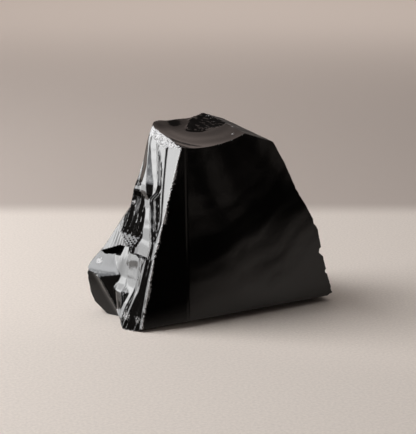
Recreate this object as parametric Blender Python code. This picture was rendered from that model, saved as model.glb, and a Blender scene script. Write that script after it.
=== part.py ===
"""Obsidian chunk: one fist-sized piece of volcanic glass, broken on every side.

The stone is made the way a real one is: a block loses one flake after another.
Each fracture is a sheet with the relief that such a break leaves (a shallow bowl,
a swell, a fan of flutes), thickened away from the stone and taken off the block.
Lengths are millimetres until the mesh is written; +Z is up, the broad flat face
looks along -Y, and the foot sticks out along -X.
"""

import math

import bmesh
import bpy
import numpy as np
from mathutils import Vector

MM = 0.001
NAME = "obsidian_chunk"

BLOCK = (116.0, 66.0, 90.0)          # raw block, mm
SHIFT = Vector((3.79, -0.84, 0.0))      # brings the middle of the finished stone onto the Z axis
STEP = 4.2                           # side of one cell of a plain sheet
FINE_STEP = 2.2                      # the same where flutes and small scars need it
REACH = 60.0                         # how far a cutter goes on beyond its sheet

LEDGE = (Vector((-41.0, -8.0, 28.8)), Vector((-0.3, -0.05, 0.95)))    # top of the foot: point, normal
FAR_LEDGE = (Vector((-43.7, -4.3, 28.3)), Vector((-0.185, 0.289, 0.939)))
FOOT_TIP = (-54.6, 8.0, 19.2)

# Flutes of the wall above the foot.  Each arris: place across the wall at the top
# and at the bottom, then its height there.
WALL_TOP, WALL_LOW = 27.0, -20.0
WALL_ARRISES = (
    (-30.0, -42.0, 0.0, 0.6),
    (-22.5, -34.3, 0.5, 0.4),
    (-20.0, -24.1, 0.3, 1.4),
    (-18.3, -14.1, -0.3, -0.9),
    (-14.8, -9.4, 0.5, 0.5),
    (-11.4, -5.0, -0.1, -0.9),
    (-8.7, -2.2, 0.3, -1.2),
    (1.3, 0.2, 0.3, -0.2),
    (12.0, 12.0, 0.6, 0.6),
)
# Flutes of the foot: they run together at its lower end.
FOOT_TOP, FOOT_LOW = 27.0, 7.0
FOOT_ARRISES = (
    (-30.0, -16.0, 0.6, 0.0),
    (-15.8, -1.8, 0.5, 0.2),
    (-4.8, 2.0, 0.4, 0.5),
    (8.9, 4.2, 1.2, 0.6),
    (14.2, 8.0, -1.4, -0.3),
    (18.8, 14.0, -0.2, 0.2),
    (30.0, 26.0, -0.4, -0.4),
)
WALL_SAG, FOOT_SAG = 0.09, 0.13      # depth of a flute over its width


def facing(azimuth, tilt):
    """Two directions in the sheet and its outward normal (azimuth from +X, tilt above level)."""
    a, t = math.radians(azimuth), math.radians(tilt)
    out = Vector((math.cos(a) * math.cos(t), math.sin(a) * math.cos(t), math.sin(t)))
    up = Vector((0, 0, 1)) if abs(out.z) < 0.85 else Vector((0, 1, 0))
    up = (up - out * up.dot(out)).normalized()
    return up.cross(out), up, out


# ---- reliefs: height of the fracture over its mean plane, at (u, v) -------------------

def flat(u, v):
    return 0.0 * u


def swell(u, v, u0, v0, height, wide, tall):
    return height * np.exp(-((u - u0) / wide) ** 2 - ((v - v0) / tall) ** 2)


def bowl(depth, u0=0.0, v0=0.0, wide=120.0, tall=120.0):
    """A conchoidal scar: deepest at (u0, v0), rising with the given radii."""
    return lambda u, v: -depth + (u - u0) ** 2 / (2 * wide) + (v - v0) ** 2 / (2 * tall)


def flutes(u, v, arrises, top, low, sag):
    """Hollow channels between straight arrises that fan out or run together."""
    t = np.clip((top - v) / (top - low), -0.3, 1.4)
    height = 0.0 * u
    lines = [(a0 + (a1 - a0) * t, h0 + (h1 - h0) * t) for a0, a1, h0, h1 in arrises]
    for (a, ha), (b, hb) in zip(lines[:-1], lines[1:]):
        wide = np.maximum(b - a, 0.4)
        s = (u - a) / wide
        channel = ha + (hb - ha) * s - sag * wide * 4 * s * (1 - s)
        height = np.where((s >= 0) & (s <= 1), channel, height)
    return height


def front_face(u, v):
    return 0.25 * np.sin((u + 0.8 * v) / 9.0) - swell(u, v, 10, 20, 0.3, 14, 14)


def narrow_face(u, v):
    return 0.12 * np.sin(v / 8.0)


def fluted_wall(u, v):
    far = np.clip(-u / 30.0, 0, 1.4) ** 2 * np.clip(-v / 20.0, 0, 1.4)
    return 1.2 * far + flutes(u, v, WALL_ARRISES, WALL_TOP, WALL_LOW, WALL_SAG)


def side_strip(u, v):
    """Narrow facet behind the wall; it swings out to the foot's tip."""
    low = np.clip(-13 - v, 0, 60)
    return 0.25 * low + 0.004 * low ** 2 - 0.2 * np.sin(v / 3.0)


def ease(x):
    x = np.clip(x, 0, 1)
    return x * x * (3 - 2 * x)


def foot_front(u, v):
    """Domed at the top, nearly upright lower down, hollow beside the ridge."""
    dome = 0.032 * (1 - ease((u + 2) / 13)) * np.clip(v - 17, 0, 20) ** 2
    hollow = 0.011 * ease((u - 10) / 7) * np.clip(v - 9, 0, 30) ** 2
    return (-0.3 + 0.16 * u - dome - hollow + swell(u, v, -21, 13, 11.0, 8, 8.5)
            + flutes(u, v, FOOT_ARRISES, FOOT_TOP, FOOT_LOW, FOOT_SAG))


def foot_facet(u, v):
    """Plane as far as a slanting line, from which it curls out to meet the flutes."""
    line = 2.5 + 0.5 * np.clip(-v, 0, 20)
    return 0.06 * np.clip(u - line, 0, 22) ** 2


def scar(wide, tall, wave=6.0, height=0.12):
    """Bowl of a struck flake, with the rings that run out from the blow above it."""
    def relief(u, v):
        ring = np.hypot(u, v - 1.6 * math.sqrt(tall * 6))
        return u ** 2 / (2 * wide) + v ** 2 / (2 * tall) + height * np.sin(2 * math.pi * ring / wave)
    return relief


def top_scar(u, v):
    ring = np.hypot(u - 16, v - 10)
    return -1.2 + u ** 2 / 100 + v ** 2 / 220 + 0.10 * np.sin(2 * math.pi * ring / 7.5)


def right_edge(u, v):
    return -0.5 + (v / 40.0) ** 2 + 0.25 * np.sin(v / 4.0)


# name, point on the sheet, facing, sheet size, step, relief, planes that end the cutter
FRACTURES = (
    ("front", (0, -29, 2.7), (-90, 5), (130, 110, 0, 40), STEP, front_face, ()),
    ("front_left", (-25.7, -29, 2.4), (-101.5, 5.3), (90, 110, 0, 40), STEP, narrow_face, ()),
    ("right_upper", (26.4, -24.5, 57), (8, 27), (90, 100, 0, 0), STEP, right_edge, ()),
    ("right_lower", (40.6, -28, 20), (5, 15), (90, 90, 0, 0), STEP, bowl(0.2, 20, 0, 400, 200), ()),
    ("top_right", (0.7, -22.4, 77.9), (-22, 70), (90, 90, 0, 0), STEP, flat, ()),
    ("foot_under", (-49.7, 4, 3.2), (171, -40), (70, 44, 1, 2), STEP, flat, ()),
    ("back", (0, 28, 6), (88, 18.5), (130, 110, 0, 40), STEP, bowl(0, -6, 30, 600, 600), ()),
    ("back_right", (36, 18, 8), (48, 16), (110, 110, 0, 30), STEP, bowl(1.0, 0, 30, 300, 300), ()),
    ("back_left", (-22.5, 4, 79.5), (112, 17), (110, 140, 0, -40), STEP, bowl(0, 0, 0, 700, 900), ()),
    ("side_strip", (-33.6, -0.5, 59), (150, 14.9), (60, 110, 0, -10), FINE_STEP, side_strip, ()),
    ("foot_back", (-52.8, 8.5, 10), (110, 0), (100, 70, -32, 0), STEP, flat, ()),
    ("foot_facet", FOOT_TIP, (208, -12), (80, 70, 0, 0), FINE_STEP, foot_facet, ()),
    ("wall", (-33.2, -23.2, 47.4), (190, 17), (90, 100, -4, 8), FINE_STEP, fluted_wall, (LEDGE,)),
    ("far_wall", (-33.25, -23.21, 47.42), (190, 17), (36, 100, -32, 8), FINE_STEP, fluted_wall,
     (FAR_LEDGE, (LEDGE[0] + LEDGE[1], -LEDGE[1]))),
    ("foot_front", (-46.6, -8, 0), (197, 3), (80, 70, 0, 10), FINE_STEP, foot_front,
     ((LEDGE[0] + 2 * LEDGE[1], -LEDGE[1]), (FAR_LEDGE[0] + FAR_LEDGE[1], -FAR_LEDGE[1]))),
    ("base", (0, 0, 0), (0, -90), (180, 180, 0, 0), 12.0, flat, ()),
    ("front_under", (0, -29, 2.6), (-90, -70), (150, 60, 0, 0), STEP, flat, ()),
    ("right_under", (45.4, -28.9, 3.3), (-25, -66), (140, 80, 0, 0), STEP, flat, ()),
    ("top_scar", (-13, -9, 76.3), (-103, 76), (100, 100, 0, 0), FINE_STEP * 1.4, top_scar, ()),
    ("top_chip", (-25.2, -8.0, 75.2), (192, 40), (34, 34, 0, 0), 1.6, bowl(0.2, 0, 0, 75, 50), ()),
    ("back_scar", (22, 18.2, 27), (70, 12), (84, 74, 0, 0), 3.0, scar(70, 55), ()),
    ("back_top_scar", (-9, 6.5, 70), (96, 24), (64, 56, 0, 0), 3.0, scar(60, 42), ()),
    ("back_low_scar", (-24, 16.2, 4), (106, 4), (60, 56, 0, 0), 3.0, scar(60, 60), ()),
    ("right_scar", (35.8, -5, 22), (10, 18), (60, 66, 0, 0), 3.0, scar(60, 70), ()),
)


def cutter(number, name, point, turn, sheet, step, relief, ends):
    """Closed body whose inner face is the fracture sheet."""
    side, up, out = facing(*turn)
    at = Vector(point)
    wide, tall, u0, v0 = sheet
    bm = bmesh.new()
    bmesh.ops.create_grid(bm, x_segments=max(2, round(wide / step)),
                          y_segments=max(2, round(tall / step)), size=0.5)
    grid = np.array([v.co for v in bm.verts])
    us, vs = grid[:, 0] * wide + u0, grid[:, 1] * tall + v0
    for vert, u, v, h in zip(bm.verts, us, vs, relief(us, vs)):
        vert.co = at + side * u + up * v + out * float(h)
    far = bmesh.ops.extrude_face_region(bm, geom=list(bm.faces))["geom"]
    for vert in (g for g in far if isinstance(g, bmesh.types.BMVert)):
        vert.co += out * (REACH - (vert.co - at).dot(out))
    for place, keep in ends:
        cut = bmesh.ops.bisect_plane(bm, geom=bm.verts[:] + bm.edges[:] + bm.faces[:],
                                     plane_co=Vector(place), plane_no=Vector(keep),
                                     clear_inner=True)["geom_cut"]
        rim = [g for g in cut if isinstance(g, bmesh.types.BMEdge)]
        bmesh.ops.triangle_fill(bm, edges=rim, use_beauty=True)
    bmesh.ops.recalc_face_normals(bm, faces=bm.faces)
    for vert in bm.verts:
        vert.co = (vert.co + SHIFT) * MM
    mesh = bpy.data.meshes.new("cut " + name)
    bm.to_mesh(mesh)
    bm.free()
    mark = mesh.attributes.new("fracture", "INT", "FACE")
    mark.data.foreach_set("value", [number] * len(mesh.polygons))
    return bpy.data.objects.new("cut " + name, mesh)


def raw_block():
    wide, deep, tall = BLOCK
    bm = bmesh.new()
    for vert in bmesh.ops.create_cube(bm, size=1.0)["verts"]:
        x, y, z = vert.co
        vert.co = (Vector((x * wide - 5, y * deep - 1, z * tall + 42)) + SHIFT) * MM
    mesh = bpy.data.meshes.new(NAME)
    bm.to_mesh(mesh)
    bm.free()
    mesh.attributes.new("fracture", "INT", "FACE")
    return bpy.data.objects.new(NAME, mesh)


def glass():
    """Black volcanic glass, polished by nothing but the break."""
    material = bpy.data.materials.new("obsidian")
    material.use_nodes = True
    surface = material.node_tree.nodes["Principled BSDF"]
    surface.inputs["Base Color"].default_value = (0.006, 0.006, 0.006, 1.0)
    surface.inputs["Roughness"].default_value = 0.12
    surface.inputs["IOR"].default_value = 1.49
    return material


def collection(name):
    made = bpy.data.collections.new(name)
    bpy.context.scene.collection.children.link(made)
    return made


def build():
    for old in list(bpy.data.objects):
        bpy.data.objects.remove(old)
    stone = raw_block()
    stone.data.materials.append(glass())
    collection(NAME).objects.link(stone)
    removed = collection("fractures")
    for number, row in enumerate(FRACTURES, start=1):
        flake = cutter(number, *row)
        removed.objects.link(flake)
        flake.hide_render = True
        flake.display_type = "WIRE"
        cut = stone.modifiers.new(row[0], "BOOLEAN")
        cut.operation = "DIFFERENCE"
        cut.solver = "EXACT"
        cut.object = flake
    return stone


build()
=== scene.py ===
# %% [markdown]
# # A chunk of obsidian
# Obsidian is volcanic glass.  It has no grain, so a blow takes off a flake along a smooth
# shell-shaped surface, and a chunk is nothing but a raw lump with such flakes gone.
# This lesson makes the glass first, because every tree hands it out.  Then it follows the
# breaking: flakes from Geometry Nodes, a chain of Booleans that takes them off, small chips
# along the sharp edges.  Floor, light and camera come last.

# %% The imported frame
import math

import bmesh
import bpy
import numpy as np
from mathutils import Matrix, Vector
from mathutils.kdtree import KDTree


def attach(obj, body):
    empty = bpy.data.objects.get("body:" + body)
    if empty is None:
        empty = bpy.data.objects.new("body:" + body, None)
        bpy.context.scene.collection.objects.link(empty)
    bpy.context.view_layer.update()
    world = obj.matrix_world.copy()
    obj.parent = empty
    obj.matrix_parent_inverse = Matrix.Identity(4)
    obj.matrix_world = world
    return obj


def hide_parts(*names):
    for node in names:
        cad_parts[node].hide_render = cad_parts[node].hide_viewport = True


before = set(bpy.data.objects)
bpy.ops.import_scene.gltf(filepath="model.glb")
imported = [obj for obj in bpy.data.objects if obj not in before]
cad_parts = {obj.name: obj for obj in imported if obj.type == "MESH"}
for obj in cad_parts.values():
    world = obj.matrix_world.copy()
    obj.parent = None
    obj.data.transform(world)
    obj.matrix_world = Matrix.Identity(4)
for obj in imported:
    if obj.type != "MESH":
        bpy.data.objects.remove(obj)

NODE, BODY, FINISH = "obsidian_chunk", "root", "obsidian"
MM = 0.001
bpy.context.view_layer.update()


def placed(name, data):
    """A new object in the scene, for a mesh, a light or a camera."""
    made = bpy.data.objects.new(name, data)
    bpy.context.scene.collection.objects.link(made)
    return made


# %% [markdown]
# ## Nodes written as Python
# A wire wraps one socket.  Sums on wires add Math nodes, so a relief or a mask reads like a
# formula.  A bench holds one node tree, and its `add` makes every other node: settings
# first, then the values or wires of its sockets.  The same two serve Geometry Nodes and
# materials, which is why they are worth writing before anything else.


# %% Wires and benches
class Wire:
    """One output of a node; arithmetic on it adds Math nodes."""

    def __init__(self, bench, node, socket):
        self.bench, self.node, self.socket = bench, node, socket

    def math(self, operation, *others):
        return self.bench.add("ShaderNodeMath", {"operation": operation},
                              dict(enumerate((self,) + others)))

    def flipped(self, operation, other):
        return self.bench.add("ShaderNodeMath", {"operation": operation}, {0: other, 1: self})

    def __add__(self, other): return self.math("ADD", other)
    def __sub__(self, other): return self.math("SUBTRACT", other)
    def __mul__(self, other): return self.math("MULTIPLY", other)
    def __truediv__(self, other): return self.math("DIVIDE", other)
    def __pow__(self, other): return self.math("POWER", other)
    def __neg__(self): return self.math("MULTIPLY", -1.0)
    def __radd__(self, other): return self.flipped("ADD", other)
    def __rsub__(self, other): return self.flipped("SUBTRACT", other)
    def __rmul__(self, other): return self.flipped("MULTIPLY", other)
    def __rtruediv__(self, other): return self.flipped("DIVIDE", other)

    def other(self, name):
        """Another output of the same node."""
        return Wire(self.bench, self.node, self.node.outputs[name])


class Bench:
    """A node tree, with one method that adds a node to it and a few shorthands."""

    def __init__(self, tree):
        self.tree = tree

    def add(self, kind, settings=None, sockets=None, out=0):
        node = self.tree.nodes.new(kind)
        for name, value in (settings or {}).items():
            setattr(node, name, value)
        for name, value in (sockets or {}).items():
            for one in (value if isinstance(value, list) else [value]):
                if isinstance(one, Wire):
                    self.tree.links.new(one.socket, node.inputs[name])
                else:
                    node.inputs[name].default_value = one
        return Wire(self, node, node.outputs[out]) if node.outputs else node

    def smooth(self, wire, low, high):
        """0 below low, 1 above high, with a soft step between."""
        return self.add("ShaderNodeMapRange", {"interpolation_type": "SMOOTHSTEP"},
                        {"Value": wire, "From Min": low, "From Max": high})

    def noise(self, place, scale, detail=2.0, roughness=0.5):
        return self.add("ShaderNodeTexNoise", {}, {
            "Vector": place, "Scale": scale, "Detail": detail, "Roughness": roughness})

    def mixed(self, factor, one, other):
        """A colour between two."""
        return self.add("ShaderNodeMix", {"data_type": "RGBA"},
                        {0: factor, 6: one, 7: other}, out=2)

    def parts(self, vector):
        """X of a vector; its other outputs are Y and Z."""
        return self.add("ShaderNodeSeparateXYZ", {}, {0: vector})

    def vector(self, operation, values, out=0):
        return self.add("ShaderNodeVectorMath", {"operation": operation}, values, out)

    def named(self, name, kind):
        """An attribute of the mesh."""
        return self.add("GeometryNodeInputNamedAttribute", {"data_type": kind}, {"Name": name})

    def numbered(self, mesh, number):
        """Writes the fracture's number on every face of a mesh."""
        return self.add("GeometryNodeStoreNamedAttribute", {"data_type": "INT", "domain": "FACE"},
                        {"Geometry": mesh, "Name": "fracture", "Value": number})

    def minus(self, mesh, *taken):
        """A mesh less some others."""
        return self.add("GeometryNodeMeshBoolean",
                        {"operation": "DIFFERENCE", "solver": "MANIFOLD"},
                        {"Mesh 1": mesh, "Mesh 2": list(taken)})

    def finish(self, mesh, material):
        """Every tree ends in real geometry with its material."""
        real = self.add("GeometryNodeRealizeInstances", {}, {0: mesh})
        done = self.add("GeometryNodeSetMaterial", {}, {"Geometry": real, "Material": material})
        self.add("NodeGroupOutput", {}, {0: done})


def geometry_bench(name, inputs):
    """A Geometry Nodes tree with named inputs: its bench, their wires, their identifiers."""
    tree = bpy.data.node_groups.new(name, "GeometryNodeTree")
    tree.interface.new_socket("Geometry", in_out="INPUT", socket_type="NodeSocketGeometry")
    tree.interface.new_socket("Geometry", in_out="OUTPUT", socket_type="NodeSocketGeometry")
    keys = {}
    for label, value in inputs.items():
        kind = {int: "Int", float: "Float", tuple: "Vector"}[type(value)]
        made = tree.interface.new_socket(label, in_out="INPUT", socket_type="NodeSocket" + kind)
        made.default_value = value
        keys[label] = made.identifier
    bench = Bench(tree)
    start = bench.add("NodeGroupInput")
    return bench, {label: start.other(label) for label in ["Geometry", *inputs]}, keys


def run_nodes(piece, tree, keys, values):
    """Adds the tree to a piece as a modifier and sets its inputs by identifier."""
    worked = piece.modifiers.new(tree.name, "NODES")
    worked.node_group = tree
    for label, value in values.items():
        worked[keys[label]] = value


def material_bench(name):
    """A material with nodes: the material, its bench and its Principled BSDF."""
    material = bpy.data.materials.new(name)
    material.use_nodes = True
    return material, Bench(material.node_tree), material.node_tree.nodes["Principled BSDF"]


# %% [markdown]
# ## The glass
# Fresh obsidian is black and as glossy as a bottle.  Light only shows its shape: every
# facet is a dark mirror.  Three things break the mirror.  Fine hackle lines run across a
# fracture, the long edges are crushed to a white powdery line, and a few faces are rough
# where the break ran out.  The same white is also painted on as glints and highlights:
# specks on the rough flutes, and a few spots where the glass shows bright facets.  Powder
# and painted glints come from an attribute that the mesh carries, because the powder
# follows the edges and no plain pattern could know where those are.

# %% Glass material
GLASS_IOR = 1.5
BLACKS = ((0.0014, 0.0014, 0.0016, 1), (0.0026, 0.0022, 0.0018, 1))     # cold and warm
# The white of crushed powder; the same white also paints glints and highlights.
POWDER_AND_GLINT_TONE = (0.44, 0.44, 0.45, 1)
CLOUD_SCALE, LINE_SCALE, FLECK_SCALE = 60.0, 420.0, 1500.0      # coarse to fine, per metre
POWDER_AND_GLINT_REACH, POWDER_AND_GLINT_STEP = 0.62, (0.93, 1.06)   # crushed glass and painted glints raise the flecks over a step
DULL_REACH, DULL_STEP = 0.4, (0.75, 0.95)        # and so does grainy glass, over a lower one
ROUGH_CLEAN, ROUGH_CLOUD, ROUGH_DULL, ROUGH_POWDER_AND_GLINTS = 0.07, 0.05, 0.18, 0.45
RELIEF_LINES, RELIEF_FLECKS, RELIEF_GRAIN, RELIEF_CRUSH_AND_GLINTS = 0.5, 0.15, 1.2, 1.5
BUMP = {"Strength": 0.12, "Distance": 0.0002}


def obsidian():
    material, bench, surface = material_bench("obsidian glass")
    surface.inputs["IOR"].default_value = GLASS_IOR
    place = bench.add("ShaderNodeTexCoord", out="Object")
    crush_and_glint_mask, grain = (bench.add("ShaderNodeAttribute", {"attribute_name": name}, out="Fac")
                    for name in ("crushed", "grainy"))
    cloud = bench.noise(place, CLOUD_SCALE, 3.0)
    lines = bench.noise(place, LINE_SCALE, 3.0)
    fleck = bench.noise(place, FLECK_SCALE, 4.0, 0.7)
    powder_and_glints = bench.smooth(fleck + crush_and_glint_mask * POWDER_AND_GLINT_REACH, *POWDER_AND_GLINT_STEP)
    dull = bench.smooth(fleck + grain * DULL_REACH, *DULL_STEP)
    tone = bench.mixed(powder_and_glints, bench.mixed(cloud, *BLACKS), POWDER_AND_GLINT_TONE)
    rough = ROUGH_CLEAN + cloud * ROUGH_CLOUD + dull * ROUGH_DULL + powder_and_glints * ROUGH_POWDER_AND_GLINTS
    relief = (lines * RELIEF_LINES
              + fleck * (RELIEF_FLECKS + grain * RELIEF_GRAIN + crush_and_glint_mask * RELIEF_CRUSH_AND_GLINTS))
    bump = bench.add("ShaderNodeBump", {}, {**BUMP, "Height": relief})
    for name, wire in (("Base Color", tone), ("Roughness", rough), ("Normal", bump)):
        material.node_tree.links.new(wire.socket, surface.inputs[name])
    return material


glass = obsidian()
print("glass nodes:", len(glass.node_tree.nodes))

# %% [markdown]
# ## A struck flake
# One Geometry Nodes tree makes every flake.  It is given a sheet, which is the mean shape
# of one fracture, and adds what a fracture in glass always has: rings that spread from the
# blow like ripples on water, and hackle, fine streaks that run away from it.  Then the
# sheet is thickened away from the stone into a closed body.  A flake may end at a plane,
# where the break stopped at a ledge; a big cube takes off what lies behind that plane.
# Relief on the sheet is cheap and exact, which carving the finished stone wouldn't be.

# %% Flake tree
FLAKE = {
    "Number": 0, "Reach": 60.0, "Blow": (0.0, 60.0, 0.0),
    "Ring Spacing": 9.0, "Ring Height": 0.03,
    "Streak Width": 1.6, "Streak Length": 14.0, "Streak Height": 0.02,
    "Stop A": (0.0, 0.0, -800.0), "Stop A Way": (0.0, 0.0, 1.0),
    "Stop B": (0.0, 0.0, -800.0), "Stop B Way": (0.0, 0.0, 1.0),
}
STOP_CUBE = 400.0                       # side of the cubes that end a flake, mm
STOP_NUMBERS = (("Stop A", 100), ("Stop B", 200))       # added to the flake's own number
WANDER_SCALE, WANDER = 0.06, 9.0        # how the rings stray from true circles
FAN_RADIUS = 60.0                       # streaks have their width this far from the blow, mm
FAN_STEP = 7.3                          # gives each fracture its own streaks
WELD = 1e-4                             # mm


def hackled(bench, given):
    """Height of the rings and streaks on a sheet."""
    here = bench.add("GeometryNodeInputPosition")
    apart, blow = bench.parts(here), bench.parts(given["Blow"])
    across, along = apart - blow, apart.other("Y") - blow.other("Y")
    away = (across * across + along * along).math("SQRT")
    angle = across.math("ARCTAN2", -along)
    wander = bench.noise(here, WANDER_SCALE) * WANDER
    rings = (away * (2 * math.pi) / given["Ring Spacing"] + wander).math("SINE")
    fan = bench.add("ShaderNodeCombineXYZ", {}, {
        0: angle * FAN_RADIUS / given["Streak Width"],
        1: away / given["Streak Length"],
        2: given["Number"] * FAN_STEP})
    streak = bench.noise(fan, 1.0, 3.0, 0.6)
    lively = bench.named("lively", "FLOAT")
    return (rings * given["Ring Height"]
            + (streak - 0.5) * 2.0 * given["Streak Height"] * lively)


def thickened(bench, sheet, reach):
    """The closed body between a sheet and a level plane above it."""
    raised = bench.add("GeometryNodeExtrudeMesh", {"mode": "FACES"},
                       {"Mesh": sheet, "Offset Scale": 1.0, "Individual": False})
    here = bench.parts(bench.add("GeometryNodeInputPosition"))
    level = bench.add("ShaderNodeCombineXYZ", {}, {0: here, 1: here.other("Y"), 2: reach})
    lifted = bench.add("GeometryNodeSetPosition", {}, {
        "Geometry": raised, "Selection": raised.other("Top"), "Position": level})
    under = bench.add("GeometryNodeFlipFaces", {}, {0: sheet})
    both = bench.add("GeometryNodeJoinGeometry", {}, {0: [lifted, under]})
    return bench.add("GeometryNodeMergeByDistance", {}, {"Geometry": both, "Distance": WELD})


def flake_tree():
    bench, given, keys = geometry_bench("struck flake", FLAKE)
    rise = bench.add("ShaderNodeCombineXYZ", {}, {2: hackled(bench, given)})
    sheet = bench.add("GeometryNodeSetPosition", {},
                      {"Geometry": given["Geometry"], "Offset": rise})
    body = bench.numbered(thickened(bench, sheet, given["Reach"]), given["Number"])
    for name, more in STOP_NUMBERS:
        way = given[name + " Way"]
        middle = bench.vector("MULTIPLY_ADD", {0: way, 1: (-STOP_CUBE / 2,) * 3, 2: given[name]})
        turn = bench.add("FunctionNodeAlignRotationToVector", {"axis": "Z"}, {"Vector": way})
        cube = bench.add("GeometryNodeMeshCube", {}, {"Size": (STOP_CUBE,) * 3})
        behind = bench.add("GeometryNodeTransform", {},
                           {"Geometry": cube, "Translation": middle, "Rotation": turn})
        body = bench.minus(body, bench.numbered(behind, given["Number"] + more))
    bench.finish(body, glass)
    return bench.tree, keys


flaking, flake_keys = flake_tree()
print("flake tree:", len(flaking.nodes), "nodes")

# %% [markdown]
# ## The mean shape of each fracture
# Big breaks are nearly plane, struck scars are shallow bowls, and two faces are fluted:
# hollow channels lie between straight ribs that fan out or run together.  Those shapes
# are sums of a few curves in the sheet's own two directions, u across and v up, so plain
# NumPy makes them.  The numbers are millimetres, and each has its name beside it.


# %% Simple reliefs
def ease(x):
    x = np.clip(x, 0, 1)
    return x * x * (3 - 2 * x)


def swell(u, v, u0, v0, height, wide, tall):
    return height * np.exp(-((u - u0) / wide) ** 2 - ((v - v0) / tall) ** 2)


def rolled(x, rate, limit):
    """Bends down from x = 0 with a growing slope, and goes on straight at its limit."""
    x, turn = np.clip(x, 0, None), limit / rate
    return np.where(x < turn, rate * x * x / 2, limit * (x - turn / 2))


def sloping(u, v, level, u0, fall_across, v0, fall_up):
    return level - fall_across * (u - u0) - fall_up * (v - v0)


def ripples(away, height, wave):
    return height * np.sin(2 * math.pi * away / wave)


def flat(u, v):
    return 0.0 * u


def bowl(depth, u0, v0, wide, tall):
    """Wide and tall are the radii of its two curves."""
    return lambda u, v: -depth + (u - u0) ** 2 / (2 * wide) + (v - v0) ** 2 / (2 * tall)


def scar(wide, tall, wave=6.0, height=0.12, depth=6, beyond=1.6):
    """A bowl with rings; the blow fell beyond its upper end."""
    blow = beyond * math.sqrt(tall * depth)
    return lambda u, v: (bowl(0, 0, 0, wide, tall)(u, v)
                         + ripples(np.hypot(u, v - blow), height, wave))


def right_edge(u, v, depth=0.5, tall=40.0, wave=0.25, length=4.0):
    return -depth + (v / tall) ** 2 + wave * np.sin(v / length)


def side_strip(u, v, bend=-13, end=60, slope=0.25, curve=0.004, wave=0.2, length=3.0):
    """Plane above, and bent outwards below."""
    low = np.clip(bend - v, 0, end)
    return slope * low + curve * low ** 2 - wave * np.sin(v / length)


def foot_facet(u, v, edge=1.5, lean=0.5, tall=20, curve=0.06, wide=22):
    """Plane near the tip, and bent away beyond a slanting line."""
    line = edge + lean * np.clip(-v, 0, tall)
    return curve * np.clip(u - line, 0, wide) ** 2


def chip_face(u, v, rib=0.25, pitch=0.85, sway=0.5, sway_pitch=0.7):
    """A small bowl with ribs that run down it."""
    return (bowl(0.2, 0, 0, 75, 50)(u, v)
            + rib * np.abs(np.sin(pitch * u + sway * np.sin(sway_pitch * v))))


CREASE = {"front": (-25.7, 0.0334), "narrow": (0.1, 0.0152)}    # place at v = 0, change with v
FRONT_DIP = (10, 20, -0.3, 14, 14)      # middle, height and half-widths of one broad dip


def crease_at(v, side):
    start, lean = CREASE[side]
    return start + lean * v


def front_face(u, v, height=0.25, slant=0.8, length=9.0, fade=22):
    """Long faint waves, which die out towards the crease."""
    wave = height * np.sin((u + slant * v) / length) + swell(u, v, *FRONT_DIP)
    return wave * ease((u - crease_at(v, "front")) / fade)


def narrow_face(u, v, step=0.10, width=0.9):
    """Plane, with a low step just before the crease."""
    return -step * ease((u - crease_at(v, "narrow") + width) / width)


print("rings of a scar, mm:", np.round(scar(60, 60)(np.zeros(4), np.arange(4.0)), 2))

# %% [markdown]
# ## Fluted faces
# The wall and the front of the foot are long facets side by side.  A mesh of single ribs
# would need its joints closed by hand; here each band only says where its left border
# runs and how it slopes, and the heights follow.  Teeth on a band are the tiny splinter
# scars that turn a mirror into a dark streaky face with glints.

# %% Bands and teeth
SMOOTH, ROUGH = 0.4, 1.3                # how lively the fine streaks are on a band
TOOTH_RISE = 0.08                       # part of a tooth's width that faces the other way
TOOTH_SWAY = ((0.16, 4.7, 2.0), (0.07, 1.9, 3.0))       # reach, length, shift by tooth width
TOOTH_DEPTHS = (0.8, 0.2, 2.3, 6.0)     # mean, spread, change from tooth to tooth, length
MARGIN, THINNEST = 0.8, 0.05            # teeth fade out over a margin; no band is thinner


def line_at(v, points):
    """Place across of a border, given as (v, u) from its top to its foot."""
    vs, us = zip(*sorted(points))
    return np.interp(v, vs, us)


def banded(u, v, ridge, level, bands):
    """Long facets side by side, from the ridge leftwards.

    Each band has its left border, its mean slope across, and the width and depth of the
    teeth that roughen it.  Heights follow from the slopes, so the surface has ribs but no
    steps.  Also gives how lively the fine streaks are, and the last border and its height.
    """
    mean, spread, change, length = TOOTH_DEPTHS
    right = line_at(v, ridge)
    height, lively = level + 0 * u, SMOOTH + 0 * u
    for points, slope, tooth, depth, lively_here in bands:
        left = np.minimum(line_at(v, points), right - THINNEST)
        next_level = level - slope * (right - left)
        here = u <= right
        inside = here & (u > left)
        sway = sum(reach * np.sin(v / stretch + shift * tooth)
                   for reach, stretch, shift in TOOTH_SWAY)
        turn = (u - left) / tooth + sway
        which, turn = np.floor(turn), turn % 1.0
        bite = depth * np.where(turn < TOOTH_RISE, turn / TOOTH_RISE,
                                (1 - turn) / (1 - TOOTH_RISE))
        bite = bite * (mean + spread * np.sin(change * which + v / length))
        margin = np.clip(np.minimum(u - left, right - u) / MARGIN, 0, 1)
        height = np.where(here, next_level, height)
        height = np.where(inside, level - slope * (right - u) + bite * margin, height)
        lively = np.where(inside, lively_here, lively)
        right, level = left, next_level
    return height, lively, right, level


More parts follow.
